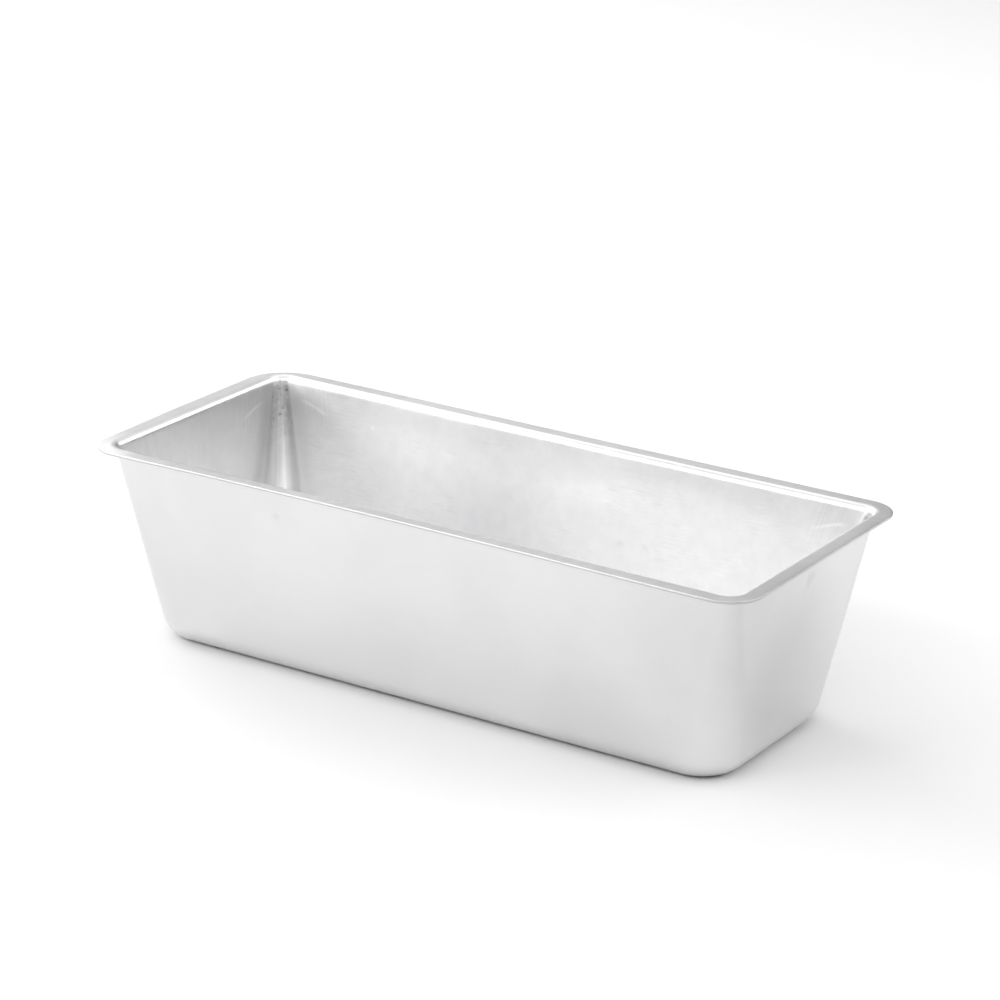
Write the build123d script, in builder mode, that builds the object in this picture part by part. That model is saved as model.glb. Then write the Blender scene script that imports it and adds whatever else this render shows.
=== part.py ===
from build123d import *
import os
from math import atan2, cos

# A seamless loaf pan, deep-drawn from one blank of aluminium sheet. The flat base, the
# tapered walls with their conical corners and the flat out-turned rim are all the same
# sheet, so the pan is a single piece of even thickness.
#
# Millimetres. The origin is the centre of the base, on the plane that the pan stands on.
# +X runs along the pan's length and +Z points up, out of its mouth.

# Overall size, over the rim
overall_length = 300.0
overall_width = 132.0
overall_height = 84.5
sheet = 1.0

# Outer faces of the walls, carried on in straight lines to the base plane
base_length = 268.3
base_width = 92.9
base_corner = 22.5

# The rim stands this far out from the same faces, carried up to its top
rim_reach = 6.7
mouth_length = overall_length - 2 * rim_reach
mouth_width = overall_width - 2 * rim_reach
mouth_corner = 6.5
rim_corner = 15.0

# Bends, measured on the side that is inside each bend, and the rounding of the cut edge
base_bend = 10.5
rim_bend = 1.8
edge_round = 0.2

rim_underside = overall_height - sheet

# A wall that leans outwards is cut on a slant by a level plane, so its thickness there
# is a little more than the sheet's.
end_draft = atan2((mouth_length - base_length) / 2, overall_height)
side_draft = atan2((mouth_width - base_width) / 2, overall_height)
end_inset = sheet / cos(end_draft)
side_inset = sheet / cos(side_draft)
corner_inset = (end_inset + side_inset) / 2


def at_height(base_size, mouth_size, height):
    """A size of the outer wall at a height, on the straight line from base to mouth."""
    return base_size + (mouth_size - base_size) * height / overall_height


with BuildPart() as cavity:
    with BuildSketch(Plane.XY.offset(sheet)):
        RectangleRounded(
            at_height(base_length, mouth_length, sheet) - 2 * end_inset,
            at_height(base_width, mouth_width, sheet) - 2 * side_inset,
            at_height(base_corner, mouth_corner, sheet) - corner_inset,
        )
    with BuildSketch(Plane.XY.offset(overall_height)):
        RectangleRounded(
            mouth_length - 2 * end_inset,
            mouth_width - 2 * side_inset,
            mouth_corner - corner_inset,
        )
    loft(ruled=True)
    floor_edges = cavity.faces().sort_by(Axis.Z)[0].edges()
    fillet(floor_edges, radius=base_bend)


with BuildPart() as pan_body:
    # Outer form of the drawn body
    with BuildSketch(Plane.XY):
        RectangleRounded(base_length, base_width, base_corner)
    with BuildSketch(Plane.XY.offset(overall_height)):
        RectangleRounded(mouth_length, mouth_width, mouth_corner)
    loft(ruled=True)
    base_edges = pan_body.faces().sort_by(Axis.Z)[0].edges()
    fillet(base_edges, radius=base_bend + sheet)

    # Flat rim, and the hollow inside
    with BuildSketch(Plane.XY.offset(rim_underside)):
        RectangleRounded(overall_length, overall_width, rim_corner)
    extrude(amount=sheet)
    add(cavity.part, mode=Mode.SUBTRACT)

    # The bend from wall to rim: its two faces share a centre, which keeps the sheet even
    rim_top = pan_body.faces().filter_by(Plane.XY).sort_by(Axis.Z)[-1]
    fillet(rim_top.inner_wires().edges(), radius=rim_bend + sheet)
    rim_below = pan_body.faces().filter_by_position(Axis.Z, rim_underside, rim_underside)[0]
    fillet(rim_below.inner_wires().edges(), radius=rim_bend)

    # The trimmed edge is only just broken
    rim_top = pan_body.faces().filter_by(Plane.XY).sort_by(Axis.Z)[-1]
    rim_below = pan_body.faces().filter_by_position(Axis.Z, rim_underside, rim_underside)[0]
    fillet(rim_top.outer_wire().edges() + rim_below.outer_wire().edges(), radius=edge_round)

pan_body.part.label = "pan_body"

os.makedirs("parts", exist_ok=True)
export_step(pan_body.part, "parts/pan_body.step")
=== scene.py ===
"""Studio scene of a seamless loaf pan, drawn from one blank of aluminium sheet.

The visible pan is a quad mesh of the sheet's two skins, worked out section by section on the
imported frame's sizes. Metres throughout; +X is the pan's length and +Z is up.
"""

from math import cos, pi, radians, sin

import bmesh
import bpy
import numpy as np
from mathutils import Matrix, Vector, noise


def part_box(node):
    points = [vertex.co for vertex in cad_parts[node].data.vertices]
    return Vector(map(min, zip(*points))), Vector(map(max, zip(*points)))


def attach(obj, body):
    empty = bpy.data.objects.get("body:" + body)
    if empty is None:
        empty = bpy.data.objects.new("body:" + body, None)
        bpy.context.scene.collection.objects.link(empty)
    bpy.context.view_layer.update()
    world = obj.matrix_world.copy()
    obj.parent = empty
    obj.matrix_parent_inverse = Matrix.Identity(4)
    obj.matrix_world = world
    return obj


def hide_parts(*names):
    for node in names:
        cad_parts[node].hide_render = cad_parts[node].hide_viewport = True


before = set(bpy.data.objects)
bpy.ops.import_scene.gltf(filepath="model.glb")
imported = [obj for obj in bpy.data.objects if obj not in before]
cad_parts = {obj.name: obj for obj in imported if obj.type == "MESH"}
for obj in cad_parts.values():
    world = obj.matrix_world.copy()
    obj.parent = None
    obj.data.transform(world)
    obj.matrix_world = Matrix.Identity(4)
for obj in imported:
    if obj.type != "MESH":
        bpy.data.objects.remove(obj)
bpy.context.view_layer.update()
pan_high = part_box("pan_body")[1]

MM = 0.001

# ---------------------------------------------------------------- sizes of the drawn sheet
HALF_LENGTH, HALF_WIDTH, HEIGHT = pan_high
SHEET = 1.0 * MM
RIM_REACH = 6.7 * MM
END_DRAFT = radians(6.18)
SIDE_DRAFT = radians(8.65)
BASE_CORNER = 22.5 * MM
MOUTH_CORNER = 6.5 * MM
BASE_BEND = 10.5 * MM
RIM_BEND = 2.8 * MM
EDGE_ROUND = 0.2 * MM
# Radius of the trimmed outline at back right, back left, front left and front right
TRIM_CORNERS = np.array([13.6, 20.4, 13.2, 14.2]) * MM

# ---------------------------------------------------------------- steps of the mesh
CORNER_STEPS = 20
LONG_STEPS = 100
SHORT_STEPS = 46
BASE_BEND_STEPS = 10
WALL_STEPS = 34
RIM_BEND_STEPS = 8
FLAT_STEPS = 5
EDGE_STEPS = 3

# ---------------------------------------------------------------- how the sheet strays
# The two bows and the trimmed corners follow the edges in the photograph. The rest is
# given or guessed: the floor can't be seen, and the waves, ripple and puckers weren't measured.
LONG_WALL_BOW = 0.7 * MM
FRONT_TRIM_BOW = 1.0 * MM
RIM_DROOP = np.array([0.08, 0.1, 0.3, 0.08]) * MM
RIM_RIPPLE = 0.03 * MM
FLOOR_CROWN = 0.4 * MM
WAVE = 0.05 * MM
WAVE_LENGTH = 48.0 * MM
PUCKER = 0.015 * MM
PUCKER_PITCH = 4.3 * MM
PUCKER_REACH = 17.0 * MM
PUCKER_DEPTH = 15.0 * MM

# ---------------------------------------------------------------- where the finish changes
BASE_TOP = 4.0 * MM
WALL_FOOT = 18.0 * MM
WALL_TOP = 80.0 * MM
BEND_START = 81.8 * MM
GALL_FOOT = 50.0 * MM
GALL_FULL = 72.0 * MM
DRAW_LINES_FOOT = 62.0 * MM
DRAW_LINES_FULL = 72.0 * MM
DRAW_LINES_TOP = (81.5 * MM, 82.5 * MM)
SHOCK_LINE_ENDS = (70.5 * MM, 75.5 * MM)
SHOCK_LINE_WIDTH = (0.2 * MM, 1.2 * MM)
CORNER_BLEND = 26.0 * MM

# ---------------------------------------------------------------- how the finish looks
METAL_SHADE = 0.765
METAL_ROUGHNESS = 0.31
BUMP_DEPTH = 0.001 * MM
PAPER_SHADE = 0.63
PAPER_ROUGHNESS = 0.9


def smooth(value, low, high):
    """0 below low and 1 above high, with an even turn between. low may be above high."""
    t = np.clip((value - low) / (high - low), 0.0, 1.0)
    return t * t * (3.0 - 2.0 * t)


def eased(steps, ease):
    """steps + 1 fractions from 0 to 1, closer together towards both ends."""
    t = np.linspace(0.0, 1.0, steps + 1)
    return (1.0 - ease) * t + ease * (1.0 - np.cos(pi * t)) / 2.0


# ---------------------------------------------------------------- the outline's columns
def outline_columns():
    """Each column's outward direction, place along its sides and share of the four corners."""
    direction, place, share = [], [], []
    signs = [(1, 1), (-1, 1), (-1, -1), (1, -1)]
    for k, here in enumerate(signs):
        after = signs[(k + 1) % 4]
        for step in range(CORNER_STEPS + 1):
            angle = (k + step / CORNER_STEPS) * pi / 2.0
            direction.append((cos(angle), sin(angle)))
            place.append(here)
            share.append(np.eye(4)[k])
        side_angle = (k + 1) * pi / 2.0
        steps = SHORT_STEPS if k % 2 else LONG_STEPS
        for t in eased(steps, 0.62)[1:-1]:
            direction.append((cos(side_angle), sin(side_angle)))
            place.append(tuple((1.0 - t) * a + t * b for a, b in zip(here, after)))
            share.append((1.0 - t) * np.eye(4)[k] + t * np.eye(4)[(k + 1) % 4])
    return np.array(direction), np.array(place), np.array(share)


direction, place, share = outline_columns()
COLUMNS = len(direction)


def outline(half_x, half_y, radius):
    """Where the columns meet a rounded rectangle. radius may differ from column to column."""
    radius = np.broadcast_to(radius, (COLUMNS,))
    centre = np.stack([half_x - radius, half_y - radius], axis=1) * place
    return centre + direction * radius[:, None]


def along(points):
    """Length run round a closed outline to each of its points, and all the way round."""
    steps = np.linalg.norm(np.roll(points, -1, axis=0) - points, axis=1)
    return np.concatenate([[0.0], np.cumsum(steps)])


# Inner faces of the walls, as straight lines from the base plane up to the rim's top
mouth_half = np.array([HALF_LENGTH, HALF_WIDTH]) - RIM_REACH
slant = np.tan([END_DRAFT, SIDE_DRAFT])
inset = SHEET / np.cos([END_DRAFT, SIDE_DRAFT])


def wall_at(z):
    """Points of the inner wall at a height, given for each column."""
    z = np.broadcast_to(z, (COLUMNS,))
    half = mouth_half - inset - slant * (HEIGHT - z)[:, None]
    radius = BASE_CORNER + (MOUTH_CORNER - BASE_CORNER) * z / HEIGHT - inset.mean()
    centre = (half - radius[:, None]) * place
    return np.column_stack([centre + direction * radius[:, None], z])


# How steeply each column's tangent plane leans outwards
lean_run = ((wall_at(HEIGHT) - wall_at(0.0))[:, :2] * direction).sum(axis=1)
lean = np.arctan2(lean_run, HEIGHT)
wall_normal = np.column_stack([direction * np.cos(lean)[:, None], -np.sin(lean)])

base_touch = SHEET + BASE_BEND * (1.0 - np.sin(lean))
rim_touch = HEIGHT - RIM_BEND * (1.0 - np.sin(lean))
base_centre = wall_at(base_touch) - BASE_BEND * wall_normal
rim_centre = wall_at(rim_touch) + RIM_BEND * wall_normal


def turned(angle):
    """The unit vector at an angle from straight down towards each column's outside."""
    angle = np.broadcast_to(angle, (COLUMNS,))
    return np.column_stack([direction * np.sin(angle)[:, None], -np.cos(angle)])


# ---------------------------------------------------------------- rings of the inner skin
def sheet_rings():
    """Each ring's points, its direction through the sheet, and the drawn length up to it."""
    rings = []
    bend_end = pi / 2.0 - lean
    for t in np.linspace(0.0, 1.0, BASE_BEND_STEPS + 1):
        out = turned(bend_end * t)
        rings.append((base_centre + BASE_BEND * out, out, BASE_BEND * bend_end * t))
    run = rings[-1][2]
    wall_length = (rim_touch - base_touch) / np.cos(lean)
    for t in eased(WALL_STEPS, 0.45)[1:]:
        z = base_touch + (rim_touch - base_touch) * t
        rings.append((wall_at(z), wall_normal, run + wall_length * t))
    run = rings[-1][2]
    for t in np.linspace(0.0, 1.0, RIM_BEND_STEPS + 1)[1:]:
        out = turned(bend_end * (1.0 - t))
        rings.append((rim_centre - RIM_BEND * out, out, run + RIM_BEND * bend_end * t))
    run = rings[-1][2]
    start = rings[-1][0]
    trim = outline(HALF_LENGTH, HALF_WIDTH, share @ TRIM_CORNERS)
    trim -= direction * (EDGE_ROUND + front_trim_bow(trim))[:, None]
    end = np.column_stack([trim, np.full(COLUMNS, HEIGHT)])
    width = np.linalg.norm(end - start, axis=1)
    for t in eased(FLAT_STEPS, 0.7)[1:]:
        rings.append((start + (end - start) * t, turned(0.0), run + width * t))
    return rings


def front_trim_bow(trim):
    """The front edge was trimmed a little hollow, deepest left of its middle."""
    from_middle = (trim[:, 0] + 0.12 * HALF_LENGTH) / (0.86 * HALF_LENGTH)
    hollow = np.clip(1.0 - from_middle ** 2, 0.0, None) ** 1.5
    return FRONT_TRIM_BOW * hollow * (direction[:, 1] < -0.9)


def corner_distance(run):
    """How far along the outline each column is from the nearest corner's arc."""
    distance = np.full(COLUMNS, np.inf)
    total = run[-1]
    for k in range(4):
        first = int(np.argmax(share[:, k] > 0.999))
        last = first + CORNER_STEPS
        before = (run[first] - run[:-1]) % total
        after = (run[:-1] - run[last]) % total
        inside = (np.arange(COLUMNS) >= first) & (np.arange(COLUMNS) <= last)
        distance = np.minimum(distance, np.where(inside, 0.0, np.minimum(before, after)))
    return distance


def waves(points, length, seed):
    """Smooth noise from -1 to 1 at each point."""
    shift = Vector((seed * 7.3, seed * 3.1, seed * 5.7))
    return np.array([noise.noise(Vector(p) / length + shift) for p in points])


def strayed(points, out, from_corner):
    """The points of a ring, moved as a drawn sheet strays from its drawing."""
    x, y, z = points.T
    moved = points.copy()
    # Long walls lean in a little at mid length, more towards the mouth
    middle = np.clip(1.0 - (x / (0.97 * HALF_LENGTH)) ** 2, 0.0, None) ** 1.5
    long_side = np.abs(direction[:, 1]) ** 4
    moved[:, 1] -= np.sign(y) * LONG_WALL_BOW * middle * long_side * smooth(z, 0.02, HEIGHT)
    # Soft waves through the sheet, with small draw puckers beside each corner
    bow = WAVE * waves(points, WAVE_LENGTH, 1) + 0.25 * WAVE * waves(points, WAVE_LENGTH / 3.5, 2)
    pucker = PUCKER * np.cos(2.0 * pi * from_corner / PUCKER_PITCH + 9.0 * waves(points, 0.05, 3))
    pucker *= smooth(from_corner, 1.0 * MM, 4.0 * MM)
    pucker *= smooth(from_corner, PUCKER_REACH, 0.5 * PUCKER_REACH)
    pucker *= smooth(z, HEIGHT - PUCKER_DEPTH, HEIGHT - 0.4 * PUCKER_DEPTH)
    on_wall = 1.0 - smooth(z, HEIGHT - RIM_BEND, HEIGHT - 0.3 * RIM_BEND)
    on_wall *= smooth(z, 0.2 * BASE_BEND, 1.5 * BASE_BEND)
    moved += out * ((bow + pucker) * on_wall)[:, None]
    # The rim droops at its corners
    on_rim = smooth(z, HEIGHT - RIM_BEND, HEIGHT)
    outward = ((points - rim_centre)[:, :2] * direction).sum(axis=1) / (RIM_REACH - RIM_BEND)
    droop = (share @ RIM_DROOP) * smooth(from_corner, 45.0 * MM, 0.0)
    ripple = RIM_RIPPLE * (1.0 + waves(points, WAVE_LENGTH, 4))
    moved[:, 2] -= on_rim * np.clip(outward, 0.0, None) * (droop + ripple)
    return moved


def floor_lift(x, y):
    """The floor is crowned very slightly upwards, and isn't quite even."""
    across = np.clip(1.0 - (x / HALF_LENGTH * 1.15) ** 2, 0.0, None)
    across = across * np.clip(1.0 - (y / HALF_WIDTH * 1.5) ** 2, 0.0, None)
    points = np.column_stack([np.ravel(x), np.ravel(y), np.zeros(np.size(x))])
    uneven = waves(points, WAVE_LENGTH, 5).reshape(np.shape(x))
    return FLOOR_CROWN * across * (1.0 + 0.35 * uneven)


# ---------------------------------------------------------------- the whole mesh
def coons(near, far, left, right):
    """A grid of points inside four edges, near and far running +X, left and right running +Y."""
    u = np.linspace(0.0, 1.0, len(near))[None, :, None]
    v = np.linspace(0.0, 1.0, len(left))[:, None, None]
    ruled = (1 - v) * near[None] + v * far[None] + (1 - u) * left[:, None] + u * right[:, None]
    corners = (1 - u) * (1 - v) * near[0] + u * (1 - v) * near[-1]
    corners = corners + (1 - u) * v * far[0] + u * v * far[-1]
    return ruled - corners


class SheetMesh:
    """Gathers vertices, quads and what the materials read at each quad's corners."""

    def __init__(self):
        self.points, self.quads, self.blank, self.draw = [], [], [], []
        self.corner, self.skin, self.middle = [], [], []
        self.count = 0

    def add_points(self, points, corner, skin, middle=0.0):
        first = self.count
        self.points.append(points)
        self.corner.append(np.broadcast_to(corner, (len(points),)))
        self.skin.append(np.full(len(points), skin))
        self.middle.append(np.broadcast_to(middle, (len(points),)))
        self.count += len(points)
        return np.arange(first, self.count)

    def add_quads(self, index, blank, draw):
        """Quads between the rows and columns of three grids of the same shape."""
        for kept, grid in ((self.quads, index), (self.blank, blank), (self.draw, draw)):
            four = (grid[:-1, :-1], grid[:-1, 1:], grid[1:, 1:], grid[1:, :-1])
            kept.append(np.stack(four, axis=2).reshape(-1, 4, *grid.shape[2:]))

    def build(self, name):
        mesh = bpy.data.meshes.new(name)
        mesh.from_pydata(np.concatenate(self.points).tolist(), [],
                         np.concatenate(self.quads).tolist())
        for map_name, values in (("blank", self.blank), ("draw", self.draw)):
            layer = mesh.uv_layers.new(name=map_name)
            layer.data.foreach_set("uv", np.concatenate(values).astype(np.float32).ravel())
        fields = (("corner", self.corner), ("skin", self.skin), ("middle", self.middle))
        for field, values in fields:
            data = mesh.attributes.new(field, "FLOAT", "POINT").data
            data.foreach_set("value", np.concatenate(values).astype(np.float32))
        mesh.polygons.foreach_set("use_smooth", [True] * len(mesh.polygons))
        made = bmesh.new()
        made.from_mesh(mesh)
        bmesh.ops.recalc_face_normals(made, faces=made.faces)
        made.to_mesh(mesh)
        made.free()
        return mesh


def looped(values):
    """Values round the outline, with the first repeated at the end."""
    return np.concatenate([values, values[:1]])


def blank_place(points, run):
    """Where a ring's points lay on the flat blank, so the rolling grain runs on unbroken."""
    side = direction[:, 1] ** 2
    reach = np.abs(base_centre[:, :2]) + run[:, None]
    developed = np.sign(place) * reach
    x = side * points[:, 0] + (1.0 - side) * developed[:, 0]
    y = (1.0 - side) * points[:, 1] + side * developed[:, 1]
    return np.column_stack([x, y])


def build_pan():
    """The pan's mesh: inner skin, cut edge and outer skin as one sheet, closed by two floors."""
    made = SheetMesh()
    around = along(wall_at(0.7 * HEIGHT)[:, :2])
    from_corner = corner_distance(around)
    near_corner = smooth(from_corner, CORNER_BLEND, 0.0)
    # 1 half way round each corner's arc and 0 at both its ends
    middle = smooth(np.abs(direction).min(axis=1) * np.sqrt(2.0), 0.0, 1.0)
    rings = sheet_rings()
    floor_edge = rings[0][0]
    lift = floor_lift(floor_edge[:, 0], floor_edge[:, 1])
    fade = np.linspace(1.0, 0.0, BASE_BEND_STEPS + 1)
    skins = ([], [])
    for i, (points, out, run) in enumerate(rings):
        top = strayed(points, out, from_corner)
        if i <= BASE_BEND_STEPS:
            top[:, 2] += lift * fade[i] ** 2
        skins[0].append((top, run))
        skins[1].append((top + SHEET * out, run))
    rows = []
    for top, run in skins[0]:
        rows.append((top, run, 1.0))
    edge, run = skins[0][-1]
    outward = np.column_stack([direction, np.zeros(COLUMNS)])
    down = np.array([0.0, 0.0, -1.0])
    for drop, start in ((EDGE_ROUND, 0.0), (SHEET - EDGE_ROUND, pi / 2.0)):
        for step in range(EDGE_STEPS + 1):
            angle = start + step / EDGE_STEPS * pi / 2.0
            if angle in (0.0, pi):
                continue
            turn = outward * sin(angle) - down * cos(angle)
            rows.append((edge + down * drop + EDGE_ROUND * turn, run, 0.5))
    for under, run in reversed(skins[1]):
        rows.append((under, run, 0.0))
    index, blank, draw = [], [], []
    for points, run, skin in rows:
        index.append(looped(made.add_points(points, near_corner, skin, middle)))
        blank.append(looped(blank_place(points, run)))
        draw.append(np.column_stack([around, looped(run)]))
    made.add_quads(np.array(index), np.array(blank), np.array(draw))
    for row, height, skin in ((0, SHEET, 1.0), (-1, 0.0, 0.0)):
        add_floor(made, index[row][:-1], rows[row][0], height, skin)
    return made.build("loaf_pan")


def add_floor(made, ring_index, ring_points, height, skin):
    """Fills the ring at the floor's edge with a grid that meets it column for column."""
    half = CORNER_STEPS // 2
    spans = []
    start = half
    for k in range(4):
        steps = CORNER_STEPS + (SHORT_STEPS if k % 2 else LONG_STEPS)
        spans.append(np.arange(start, start + steps + 1) % COLUMNS)
        start += steps
    far, left, near, right = spans[0][::-1], spans[1][::-1], spans[2], spans[3]
    flat = ring_points[:, :2]
    grid = coons(flat[near], flat[far], flat[left], flat[right])
    inner = grid[1:-1, 1:-1]
    z = height + floor_lift(inner[..., 0], inner[..., 1])
    points = np.concatenate([inner, z[..., None]], axis=2).reshape(-1, 3)
    index = np.zeros(grid.shape[:2], int)
    index[1:-1, 1:-1] = made.add_points(points, 0.0, skin).reshape(inner.shape[:2])
    index[0], index[-1] = ring_index[near], ring_index[far]
    index[:, 0], index[:, -1] = ring_index[left], ring_index[right]
    made.add_quads(index, grid, np.zeros_like(grid))


# ---------------------------------------------------------------- node helpers
class Graph:
    """A node tree with short calls for the nodes used here."""

    def __init__(self, tree):
        self.tree = tree
        tree.nodes.clear()

    def node(self, kind, values=None, **settings):
        made = self.tree.nodes.new(kind)
        for name, value in settings.items():
            setattr(made, name, value)
        for name, value in (values or {}).items():
            if isinstance(value, bpy.types.NodeSocket):
                self.tree.links.new(value, made.inputs[name])
            else:
                made.inputs[name].default_value = value
        return made

    def math(self, operation, a, b=0.0):
        return self.node("ShaderNodeMath", {0: a, 1: b}, operation=operation).outputs[0]

    def add(self, a, b):
        return self.math("ADD", a, b)

    def times(self, a, b):
        return self.math("MULTIPLY", a, b)

    def invert(self, a):
        return self.math("SUBTRACT", 1.0, a)

    def total(self, base, *layers):
        """base, plus each layer's value times its weight."""
        for value, weight in layers:
            base = self.add(base, self.times(value, weight))
        return base

    def ramp(self, value, low, high, to_low=0.0, to_high=1.0):
        """value from low..high to to_low..to_high, smoothly, and level outside."""
        sockets = {"Value": value, "From Min": low, "From Max": high,
                   "To Min": to_low, "To Max": to_high}
        made = self.node("ShaderNodeMapRange", sockets, interpolation_type="SMOOTHSTEP")
        return made.outputs[0]

    def scaled(self, vector, scale, angle=0.0, shift=(0.0, 0.0, 0.0)):
        """vector turned by angle in its own plane, then stretched by scale."""
        turn = self.node("ShaderNodeMapping", {"Vector": vector, "Rotation": (0.0, 0.0, angle)})
        made = self.node("ShaderNodeMapping", {
            "Vector": turn.outputs[0], "Scale": scale, "Location": shift})
        return made.outputs[0]

    def moved(self, vector, shift):
        return self.scaled(vector, (1.0, 1.0, 1.0), shift=shift)

    def noise(self, vector, scale=1.0, detail=2.0, rough=0.5, distortion=0.0):
        made = self.node("ShaderNodeTexNoise", {
            "Vector": vector, "Scale": scale, "Detail": detail,
            "Roughness": rough, "Distortion": distortion})
        return made.outputs[0]

    def streaks(self, vector, long_mm, thin_mm, angle=0.0, seed=0.0, detail=2.0, bent=0.0):
        """Noise drawn out along the vector's first axis, and bent out of line by bent."""
        scale = (1.0 / (long_mm * MM), 1.0 / (thin_mm * MM), 1.0)
        stretched = self.scaled(vector, scale, angle, (seed, seed, seed))
        return self.noise(stretched, detail=detail, distortion=bent)


# Marks on the real pan: where each one is, how wide it is (mm) and how much it darkens. Each
# place was found by casting a ray through the mark in the photograph from the camera below. The
# second was then moved by 2 mm.
MARKS = [
    ((-62.6, -57.2, 70.6), 4.5, 0.05),
    ((142.0, 3.0, 72.6), 10.0, 0.08),
    ((31.0, 52.7, 47.5), 5.0, 0.07),
    ((42.6, 52.7, 48.0), 4.0, 0.06),
    ((-92.5, 56.2, 70.8), 2.5, -0.08),
    ((-57.0, 55.8, 68.4), 2.0, -0.07),
    ((141.3, -54.0, 61.2), 1.6, 0.16),
    ((139.3, -53.2, 45.4), 1.4, 0.14),
]

# Not marks on the real pan: these wide patches correct tones that the lamps leave too dark or
# too light, so they put a little of this studio's light into the colour. Same form as MARKS.
TONE_PATCHES = [
    # Lighter, high on the back
    ((-62.0, 56.0, 67.0), 110.0, -0.10),
    ((2.0, 56.0, 68.0), 80.0, -0.05),
    # Darker: low on the front, round the front right corner and on the right end
    ((84.0, -48.0, 6.0), 90.0, 0.05),
    ((143.0, -38.0, 70.0), 140.0, 0.10),
    ((140.0, 2.0, 38.0), 90.0, 0.10),
]


class Sheet(Graph):
    """The metal's node tree, with what the finish reads at each point of the sheet."""

    def __init__(self, tree):
        super().__init__(tree)
        self.blank = self.node("ShaderNodeUVMap", uv_map="blank").outputs[0]
        self.draw = self.node("ShaderNodeUVMap", uv_map="draw").outputs[0]
        self.place = self.node("ShaderNodeTexCoord").outputs["Object"]
        self.up = self.node("ShaderNodeSeparateXYZ", {"Vector": self.place}).outputs["Z"]
        self.corner = self.field("corner")
        self.inside = self.field("skin")
        self.middle = self.field("middle")
        self.above_base = self.ramp(self.up, BASE_TOP, WALL_FOOT)
        self.below_rim = self.ramp(self.up, WALL_TOP, BEND_START, 1.0, 0.0)
        self.arc = self.times(self.ramp(self.corner, 0.8, 0.99), self.above_base)

    def field(self, name):
        return self.node("ShaderNodeAttribute", attribute_name=name).outputs["Fac"]


def rolled_grain(s):
    """The rolling grain, from -1 to 1, which fades out towards the corners."""
    grain = s.ramp(s.streaks(s.blank, 30.0, 0.5, seed=1.0, detail=3.0), 0.3, 0.7, -1.0, 1.0)
    return s.times(grain, s.ramp(s.corner, 0.05, 0.5, 1.0, 0.0))


def scratches(s):
    """Short scratches along the walls inside, dark and light, and the patches they lie in."""
    patches = s.noise(s.moved(s.place, (3.0, 0.0, 0.0)), 26.0, 3.0)
    patch = s.times(s.inside, s.ramp(patches, 0.44, 0.6))
    dark = s.streaks(s.blank, 10.0, 0.9, radians(2.0), seed=5.0, bent=0.5)
    light = s.streaks(s.blank, 8.0, 0.8, radians(-4.0), seed=8.0, bent=0.5)
    dark = s.times(s.ramp(dark, 0.55, 0.68), patch)
    light = s.times(s.ramp(light, 0.56, 0.69), patch)
    return patch, dark, light


def corner_wear_and_shade(s):
    """The inner corners: painted shade beside a bright strip, and galling and pits high up.

    That the flanks are duller metal is a guess. The shade on the flanks is painted, as the
    lamps alone make the strip too wide.
    """
    strip = s.ramp(s.middle, 0.88, 0.97)
    flank_painted_shade = s.times(s.times(s.ramp(s.middle, 0.02, 0.3), s.invert(strip)), s.inside)
    flank_painted_shade = s.times(s.times(flank_painted_shade, s.below_rim), s.above_base)
    top = s.times(s.ramp(s.up, GALL_FOOT, GALL_FULL), s.below_rim)
    galled = s.times(s.times(s.ramp(s.middle, 0.05, 0.5), top), s.inside)
    gall = s.times(galled, s.ramp(s.noise(s.place, 420.0, 3.0, 0.6), 0.25, 0.6))
    pits = s.noise(s.scaled(s.place, (1.0, 1.0, 0.6), shift=(0.0, 5.0, 0.0)), 620.0)
    pits = s.times(galled, s.ramp(pits, 0.64, 0.72))
    return flank_painted_shade, gall, pits


def draw_lines(s):
    """Fine upright lines beside each inner corner, under the rim, from -1 to 1."""
    up_draw = s.node("ShaderNodeMapping", {
        "Vector": s.draw, "Rotation": (0.0, 0.0, pi / 2.0)}).outputs[0]
    lines = s.streaks(up_draw, 60.0, 0.9, seed=3.0)
    beside = s.times(s.ramp(s.corner, 0.04, 0.3), s.ramp(s.corner, 0.80, 0.93, 1.0, 0.0))
    beside = s.times(beside, s.ramp(s.up, DRAW_LINES_FOOT, DRAW_LINES_FULL))
    beside = s.times(s.times(beside, s.ramp(s.up, *DRAW_LINES_TOP, 1.0, 0.0)), s.inside)
    return s.times(beside, s.ramp(lines, 0.35, 0.65, -1.0, 1.0))


def shock_line(s):
    """A line that curves down from each inner corner, on both sides of it."""
    line_height = s.ramp(s.corner, 0.0, 1.0, *SHOCK_LINE_ENDS)
    off_line = s.math("ABSOLUTE", s.math("SUBTRACT", s.up, line_height))
    shock = s.times(s.ramp(off_line, *SHOCK_LINE_WIDTH, 1.0, 0.0), s.ramp(s.corner, 0.2, 0.5))
    return s.times(s.times(shock, s.invert(s.arc)), s.inside)


def marks_and_painted_light(s, shade, mottle):
    """shade with the real marks, and the tone patches' painted light and shade, on it, their
    outlines a little uneven.
    """
    uneven = s.ramp(mottle, 0.3, 0.7, -0.6 * MM, 0.6 * MM)
    for centre, width, darker in MARKS + TONE_PATCHES:
        away = s.node("ShaderNodeVectorMath", {
            0: s.place, 1: tuple(Vector(centre) * MM)}, operation="DISTANCE").outputs["Value"]
        reach = s.times(s.add(away, uneven), 2.0 / (width * MM))
        shade = s.add(shade, s.ramp(reach, 0.1, 1.0, -darker, 0.0))
    return shade


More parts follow.
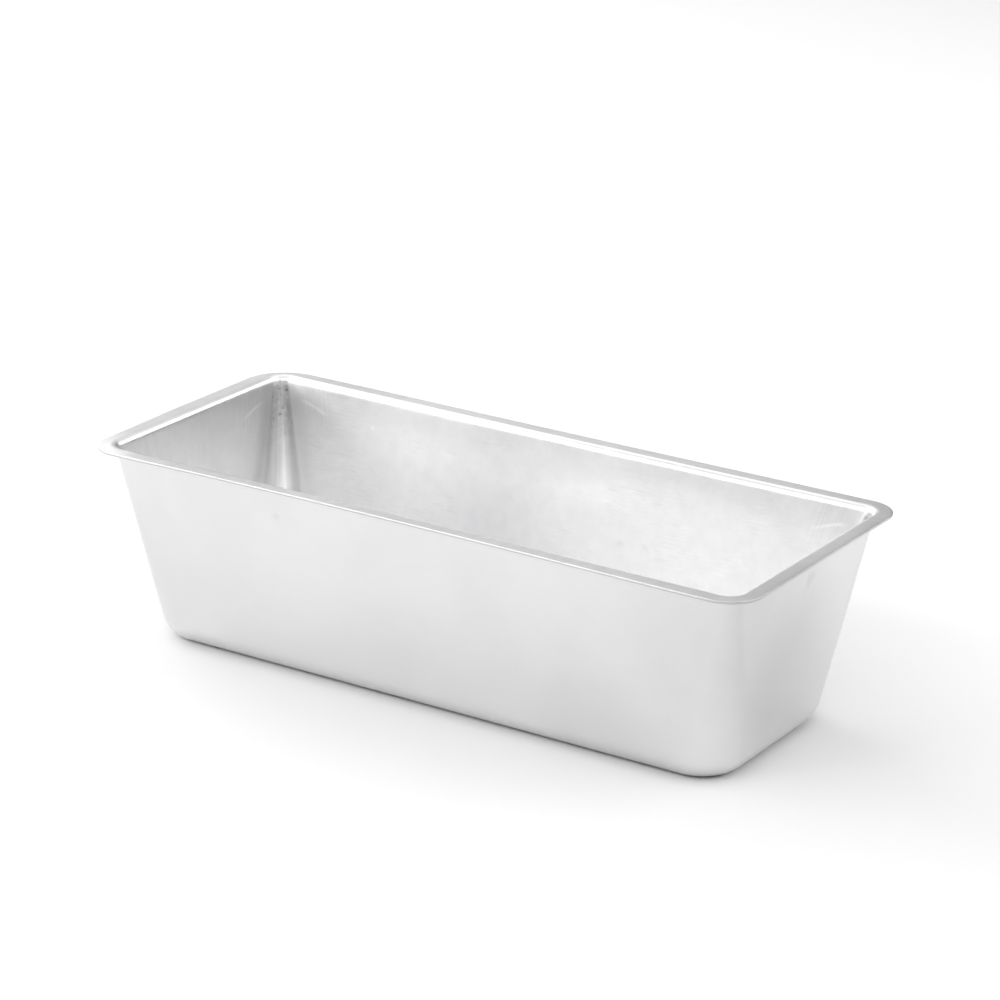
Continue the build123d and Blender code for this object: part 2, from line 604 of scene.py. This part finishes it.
def aluminium():
    """Mill-finish aluminium: rolling grain along the blank, draw marks in the corners."""
    material = bpy.data.materials.new("aluminium_mill_finish")
    material.use_nodes = True
    s = Sheet(material.node_tree)
    grain = rolled_grain(s)
    cloud = s.noise(s.place, 30.0, 4.0, 0.55, 0.3)
    mottle = s.noise(s.moved(s.place, (7.0, 0.0, 0.0)), 170.0, 4.0, 0.6)
    handled = s.times(s.inside, s.ramp(mottle, 0.3, 0.7, -1.0, 1.0))
    patch, dark_lines, light_lines = scratches(s)
    flank_painted_shade, gall, pits = corner_wear_and_shade(s)
    drawn = draw_lines(s)
    inner_arc = s.times(s.arc, s.inside)
    # The skin's value is a half on the cut edge, between 1 inside and 0 outside
    cut_edge = s.invert(s.math("ABSOLUTE", s.math("SUBTRACT", s.times(s.inside, 2.0), 1.0)))

    rough = s.total(
        s.add(s.ramp(cloud, 0.3, 0.7, -0.01, 0.01), METAL_ROUGHNESS),
        (grain, 0.01), (handled, 0.01), (inner_arc, 0.07), (gall, 0.04))
    grain_depth = s.ramp(patch, 0.0, 1.0, 0.004, 0.010)
    # Painted shade: the colour is darker on the inner corners' arcs and on the flanks beside them
    shade = s.total(
        s.add(s.ramp(cloud, 0.3, 0.7, -0.012, 0.012), METAL_SHADE),
        (grain, grain_depth), (handled, 0.018), (drawn, 0.022),
        (light_lines, 0.03), (dark_lines, -0.04), (shock_line(s), 0.12), (cut_edge, -0.16),
        (inner_arc, -0.04), (flank_painted_shade, -0.16), (gall, -0.14), (pits, -0.26))
    shade = marks_and_painted_light(s, shade, mottle)
    colour = s.node("ShaderNodeCombineColor", {
        "Red": shade, "Green": shade, "Blue": s.times(shade, 1.005)}).outputs[0]
    height = s.total(
        s.times(grain, 0.5), (handled, 0.15), (drawn, 0.8), (s.add(pits, gall), -1.0))
    bump = s.node("ShaderNodeBump", {"Height": height, "Strength": 1.0, "Distance": BUMP_DEPTH})
    shader = s.node("ShaderNodeBsdfPrincipled", {
        "Base Color": colour, "Metallic": 1.0, "Roughness": rough, "Normal": bump.outputs[0]})
    s.node("ShaderNodeOutputMaterial", {"Surface": shader.outputs[0]})
    return material


def floor_finish():
    """Plain pale paper."""
    material = bpy.data.materials.new("studio_paper")
    material.use_nodes = True
    g = Graph(material.node_tree)
    shader = g.node("ShaderNodeBsdfPrincipled", {
        "Base Color": (PAPER_SHADE, PAPER_SHADE, PAPER_SHADE, 1.0),
        "Roughness": PAPER_ROUGHNESS, "Specular IOR Level": 0.1})
    g.node("ShaderNodeOutputMaterial", {"Surface": shader.outputs[0]})
    return material


# ---------------------------------------------------------------- the pan
pan = bpy.data.objects.new("loaf_pan", build_pan())
bpy.context.scene.collection.objects.link(pan)
pan.data.materials.append(aluminium())
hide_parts("pan_body")
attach(pan, "root")

# ---------------------------------------------------------------- studio
FLOOR_HALF = 3.0
FLOOR_CELLS = 8


def studio_floor():
    """A sheet of pale paper, wide enough to fill the view."""
    grid = bmesh.new()
    bmesh.ops.create_grid(grid, x_segments=FLOOR_CELLS, y_segments=FLOOR_CELLS, size=FLOOR_HALF)
    mesh = bpy.data.meshes.new("studio_floor")
    grid.to_mesh(mesh)
    grid.free()
    made = bpy.data.objects.new("studio_floor", mesh)
    mesh.materials.append(floor_finish())
    bpy.context.scene.collection.objects.link(made)
    return made


def softbox(name, centre, facing, size, radiance):
    """A lamp of this width and height that looks as bright as radiance from the front."""
    lamp = bpy.data.lights.new(name, "AREA")
    lamp.shape = "RECTANGLE"
    lamp.size, lamp.size_y = size
    lamp.energy = radiance * pi * lamp.size * lamp.size_y
    made = bpy.data.objects.new(name, lamp)
    made.location = centre
    made.rotation_mode = "QUATERNION"
    made.rotation_quaternion = Vector(facing).to_track_quat("-Z", "Y")
    bpy.context.scene.collection.objects.link(made)
    return made


floor = studio_floor()

# A tent of softboxes round the pan, with a dark gap at the front right, where the camera is.
# Their strengths began as a least-squares fit to the photograph's tones, and were then rounded
# and changed.
TENT = 1.8
WORLD_STRENGTH = 0.05
softbox("left", (-TENT, -0.1, 1.2), (1, 0, 0), (3.3, 1.15), 5.2)
softbox("front_left", (-1.2, -TENT, 1.08), (0, 1, 0), (1.2, 1.4), 5.3)
softbox("front_high", (0.6, -TENT, 1.6), (0, 1, 0), (2.4, 0.8), 5.8)
softbox("right", (TENT, 0.6, 1.28), (-1, 0, 0), (2.4, 1.05), 3.9)
softbox("back_right", (1.2, TENT, 1.28), (0, -1, 0), (1.2, 1.05), 3.5)
softbox("back_left", (-1.2, TENT, 0.78), (0, -1, 0), (1.2, 0.8), 0.8)
softbox("roof_front", (0.0, -0.8, TENT), (0, 0, -1), (3.6, 1.8), 0.8)
softbox("roof_back", (0.0, 1.1, TENT), (0, 0, -1), (3.6, 2.0), 1.35)

world = bpy.data.worlds.new("studio")
bpy.context.scene.world = world
world.use_nodes = True
w = Graph(world.node_tree)
background = w.node("ShaderNodeBackground", {
    "Color": (1.0, 1.0, 1.0, 1.0), "Strength": WORLD_STRENGTH})
w.node("ShaderNodeOutputWorld", {"Surface": background.outputs[0]})

# ---------------------------------------------------------------- camera
# Fitted to the pan's outlines in the photograph
AZIMUTH = radians(31.44)
ELEVATION = radians(19.68)
ROLL = radians(1.71)
# From the middle of the pan's base, along the camera's own right, up and back
CAMERA_OFFSET = Vector((0.0068, 0.0702, 1.4714))
LENS_MM = 131.54
SENSOR_MM = 36.0


def studio_camera():
    """A camera turned by the angles above, looking back along its own third axis."""
    back = Vector((sin(AZIMUTH) * cos(ELEVATION), -cos(AZIMUTH) * cos(ELEVATION), sin(ELEVATION)))
    right = Vector((cos(AZIMUTH), sin(AZIMUTH), 0.0))
    up = back.cross(right)
    tilted_right = right * cos(ROLL) + up * sin(ROLL)
    tilted_up = up * cos(ROLL) - right * sin(ROLL)
    turn = Matrix((tilted_right, tilted_up, back)).transposed()
    data = bpy.data.cameras.new("camera")
    data.lens = LENS_MM
    data.sensor_width = SENSOR_MM
    made = bpy.data.objects.new("camera", data)
    made.matrix_world = Matrix.Translation(turn @ CAMERA_OFFSET) @ turn.to_4x4()
    bpy.context.scene.collection.objects.link(made)
    return made


bpy.context.scene.camera = studio_camera()
bpy.context.scene.view_settings.view_transform = "Standard"
